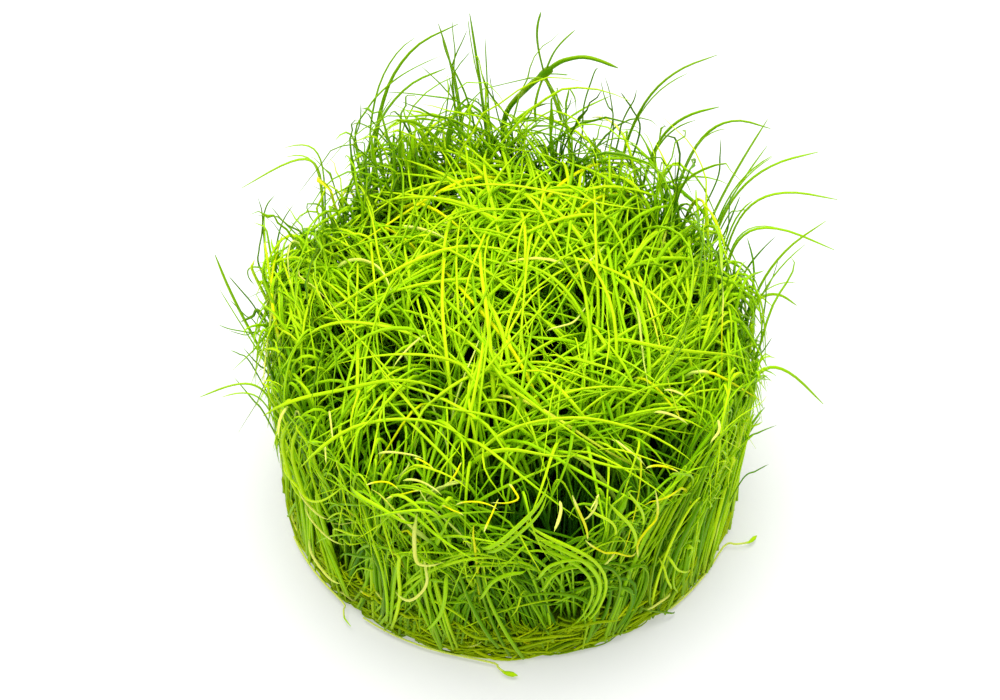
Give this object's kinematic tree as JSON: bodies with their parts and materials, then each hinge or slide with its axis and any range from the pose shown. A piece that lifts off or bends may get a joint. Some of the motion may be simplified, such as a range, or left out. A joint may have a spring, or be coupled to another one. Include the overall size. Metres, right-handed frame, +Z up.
{
  "type": "dwarf hairgrass plug",
  "caption": "Round plug of fine-leaved aquarium grass on its root mat, moulded by the culture cup it grew in, with stray blades, runners and a daughter sprig.",
  "frame": {"origin": "centre of the foot, on the surface the plug rests on", "axes": "+Z up along the blades, the pictured side towards -Y, +X to the right in the picture"},
  "size_m": [0.0842, 0.07, 0.061],
  "materials": {
    "blades": "satin, fresh yellow-green, darker towards the base",
    "strays": "satin, darker green, fine",
    "roots": "matt, olive felt of roots and old runners",
    "runners": "satin, pale green"
  },
  "bodies": {
    "root": {"daughter_sprig": "strays", "root_mat": "roots", "runner_back": "runners", "runner_front": "runners", "runner_front_left": "runners", "runner_right": "runners", "stray_back_left_fork": "strays", "stray_back_left_high": "strays", "stray_back_right_arch": "strays", "stray_back_right_high": "strays", "stray_back_right_mid": "strays", "stray_back_tall_left": "strays", "stray_back_tall_right": "strays", "stray_left_arch": "strays", "stray_left_low": "strays", "stray_left_tall": "strays", "stray_right_arch": "strays", "stray_right_inner": "strays", "stray_right_low": "strays", "stray_right_mid": "strays", "stray_right_rising": "strays", "stray_right_upper": "strays", "stray_right_upright": "strays", "tuft_01": "blades", "tuft_02": "blades", "tuft_03": "blades", "tuft_04": "blades", "tuft_05": "blades", "tuft_06": "blades", "tuft_07": "blades", "tuft_08": "blades", "tuft_09": "blades", "tuft_10": "blades", "tuft_11": "blades", "tuft_12": "blades", "tuft_13": "blades", "tuft_14": "blades", "tuft_15": "blades", "tuft_16": "blades", "tuft_17": "blades", "tuft_18": "blades", "tuft_19": "blades", "tuft_20": "blades", "tuft_21": "blades", "tuft_22": "blades", "tuft_23": "blades", "tuft_24": "blades", "tuft_25": "blades", "tuft_26": "blades", "tuft_27": "blades", "tuft_28": "blades", "tuft_29": "blades", "tuft_30": "blades", "tuft_31": "blades", "tuft_32": "blades", "tuft_33": "blades", "tuft_34": "blades", "tuft_35": "blades"}
  },
  "joints": []
}
